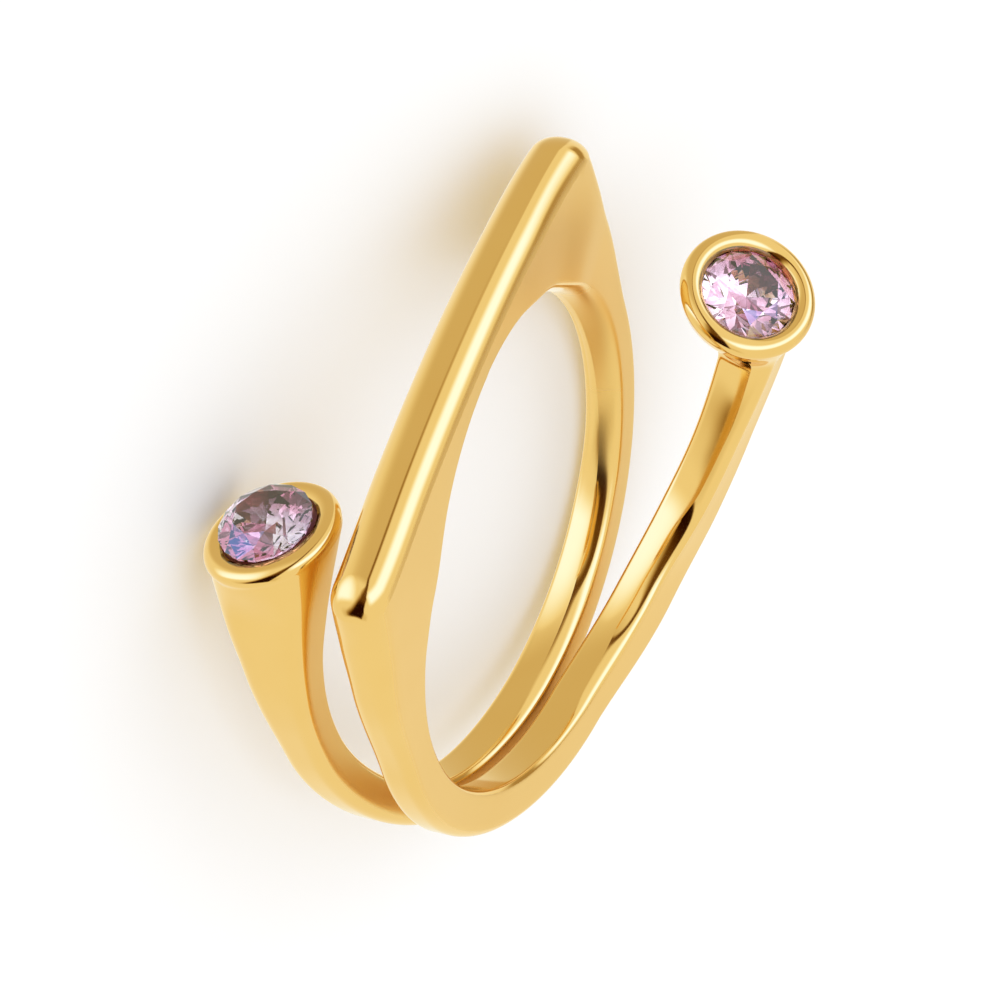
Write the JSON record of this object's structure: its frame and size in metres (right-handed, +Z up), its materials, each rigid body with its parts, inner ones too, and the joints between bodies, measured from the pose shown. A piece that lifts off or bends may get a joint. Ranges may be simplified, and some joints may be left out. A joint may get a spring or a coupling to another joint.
{
  "type": "adjustable open ring",
  "caption": "Open spiral finger ring with a flat top bar, its two ends flared into round cups that each hold a pale round-cut stone.",
  "frame": {"origin": "on the surface the ring lies on, below the middle of its bounding box", "axes": "+Z up off the surface the ring lies on its side on; the finger hole's axis leans 14 degrees from +Z because the lower stone cup props the ring up; -Y faces the side the picture was taken from"},
  "size_m": [0.0236, 0.0242, 0.0078],
  "materials": {
    "gold": "mirror-polished yellow gold plating",
    "pink_stone": "polished facets, pale pink to lavender"
  },
  "bodies": {
    "root": {"band": "gold", "stone_left": "pink_stone", "stone_right": "pink_stone"}
  },
  "joints": []
}
